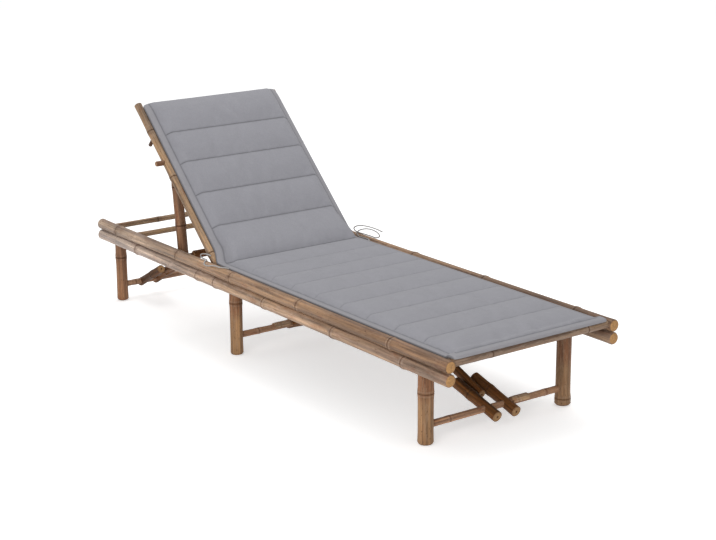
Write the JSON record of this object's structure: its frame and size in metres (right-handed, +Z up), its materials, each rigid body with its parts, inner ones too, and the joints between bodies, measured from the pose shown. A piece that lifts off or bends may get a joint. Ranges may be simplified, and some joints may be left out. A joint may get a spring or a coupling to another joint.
{
  "type": "sun lounger",
  "caption": "Low bamboo sun lounger with double side rails, folding leg pairs on braced struts, a propped reclining backrest and a thin channelled grey cushion.",
  "frame": {"origin": "on the floor under the middle of the lounger", "axes": "+Z up; +Y from the foot end to the head end; +X to the left-hand side of a person lying on it"},
  "size_m": [0.6512, 2, 0.7562],
  "materials": {
    "rail_bamboo": "weathered pale tan bamboo, satin",
    "leg_bamboo": "reddish brown stained bamboo, satin",
    "strut_bamboo": "dark brown bamboo, satin",
    "back_bamboo": "pale bamboo, satin",
    "split_bamboo": "split bamboo, matt on its cut edges",
    "pin_wood": "plain turned wood",
    "cushion_cloth": "plain woven outdoor cloth, mid grey, matt",
    "tie_cloth": "soft light grey cotton tape, rolled"
  },
  "bodies": {
    "frame": {"right_upper_rail": "rail_bamboo", "right_lower_rail": "rail_bamboo", "left_upper_rail": "rail_bamboo", "left_lower_rail": "rail_bamboo", "foot_bar": "rail_bamboo", "head_bar_outer": "back_bamboo", "head_bar_inner": "back_bamboo", "seat_bearer_1": "back_bamboo", "seat_bearer_2": "back_bamboo", "seat_bearer_3": "back_bamboo", "hinge_pole": "back_bamboo", "head_axle": "strut_bamboo", "mid_axle": "strut_bamboo", "foot_axle": "strut_bamboo", "seat_lath_1": "split_bamboo", "seat_lath_2": "split_bamboo", "seat_lath_3": "split_bamboo", "seat_lath_4": "split_bamboo", "foot_leg_pin_right": "pin_wood", "foot_leg_pin_left": "pin_wood", "mid_leg_pin_right": "pin_wood", "mid_leg_pin_left": "pin_wood", "head_leg_pin_right": "pin_wood", "head_leg_pin_left": "pin_wood", "seat_cushion": "cushion_cloth", "right_tie": "tie_cloth", "left_tie": "tie_cloth"},
    "backrest": {"back_rail_right": "back_bamboo", "back_rail_left": "back_bamboo", "prop_pivot_pole": "leg_bamboo", "back_lower_bar": "back_bamboo", "back_top_bar": "back_bamboo", "back_lath_1": "split_bamboo", "back_lath_2": "split_bamboo", "back_lath_3": "split_bamboo", "back_lath_4": "split_bamboo", "back_peg": "leg_bamboo", "back_cushion": "cushion_cloth"},
    "prop": {"prop_right": "leg_bamboo", "prop_left": "leg_bamboo"},
    "foot_legs": {"foot_leg_right": "leg_bamboo", "foot_leg_left": "leg_bamboo", "foot_stretcher": "leg_bamboo", "foot_stretcher_sleeve": "split_bamboo"},
    "foot_strut": {"foot_strut_right": "strut_bamboo", "foot_strut_left": "strut_bamboo"},
    "foot_link": {"foot_link": "strut_bamboo"},
    "mid_legs": {"mid_leg_right": "leg_bamboo", "mid_leg_left": "leg_bamboo", "mid_stretcher": "leg_bamboo", "mid_stretcher_sleeve": "split_bamboo"},
    "mid_strut": {"mid_strut_right": "strut_bamboo", "mid_strut_left": "strut_bamboo"},
    "mid_link": {"mid_link": "strut_bamboo"},
    "head_legs": {"head_leg_right": "leg_bamboo", "head_leg_left": "leg_bamboo", "head_stretcher": "leg_bamboo"},
    "head_strut": {"head_strut_right": "strut_bamboo", "head_strut_left": "strut_bamboo"},
    "head_link": {"head_link": "strut_bamboo"}
  },
  "joints": [
    {"name": "backrest_recline", "type": "hinge", "parent": "frame", "child": "backrest", "pos_m": [0, 0.256, 0.281], "axis": [1, 0, 0], "range_deg": [-39.2, 0]},
    {"name": "prop_swing", "type": "hinge", "parent": "backrest", "child": "prop", "pos_m": [0, 0.56873, 0.57467], "axis": [1, 0, 0], "range_deg": [-33.4, 0]},
    {"name": "foot_leg_fold", "type": "hinge", "parent": "frame", "child": "foot_legs", "pos_m": [0, -0.836, 0.2421], "axis": [1, 0, 0], "range_deg": [0, 80]},
    {"name": "foot_strut_swing", "type": "hinge", "parent": "foot_legs", "child": "foot_strut", "pos_m": [0, -0.836, 0.056], "axis": [1, 0, 0], "range_deg": [0, 72]},
    {"name": "foot_link_swing", "type": "hinge", "parent": "frame", "child": "foot_link", "pos_m": [0, -0.318, 0.2421], "axis": [1, 0, 0], "range_deg": [-20, 0]},
    {"name": "mid_leg_fold", "type": "hinge", "parent": "frame", "child": "mid_legs", "pos_m": [0, 0.159, 0.2421], "axis": [-1, 0, 0], "range_deg": [0, 80]},
    {"name": "mid_strut_swing", "type": "hinge", "parent": "mid_legs", "child": "mid_strut", "pos_m": [0, 0.159, 0.064], "axis": [-1, 0, 0], "range_deg": [0, 68]},
    {"name": "mid_link_swing", "type": "hinge", "parent": "frame", "child": "mid_link", "pos_m": [0, -0.241, 0.2421], "axis": [-1, 0, 0], "range_deg": [-25, 0]},
    {"name": "head_leg_fold", "type": "hinge", "parent": "frame", "child": "head_legs", "pos_m": [0, 0.939, 0.2421], "axis": [-1, 0, 0], "range_deg": [0, 80]},
    {"name": "head_strut_swing", "type": "hinge", "parent": "head_legs", "child": "head_strut", "pos_m": [0, 0.939, 0.058], "axis": [-1, 0, 0], "range_deg": [0, 60]},
    {"name": "head_link_swing", "type": "hinge", "parent": "frame", "child": "head_link", "pos_m": [0, 0.549, 0.2421], "axis": [-1, 0, 0], "range_deg": [-24, 0]}
  ],
  "couplings": [
    {"joint": "prop_swing", "follows": "backrest_recline", "ratio": 0.85},
    {"joint": "foot_strut_swing", "follows": "foot_leg_fold", "ratio": 0.8919},
    {"joint": "foot_link_swing", "follows": "foot_leg_fold", "ratio": -0.2484},
    {"joint": "mid_strut_swing", "follows": "mid_leg_fold", "ratio": 0.8375},
    {"joint": "mid_link_swing", "follows": "mid_leg_fold", "ratio": -0.3021},
    {"joint": "head_strut_swing", "follows": "head_leg_fold", "ratio": 0.736},
    {"joint": "head_link_swing", "follows": "head_leg_fold", "ratio": -0.288}
  ]
}
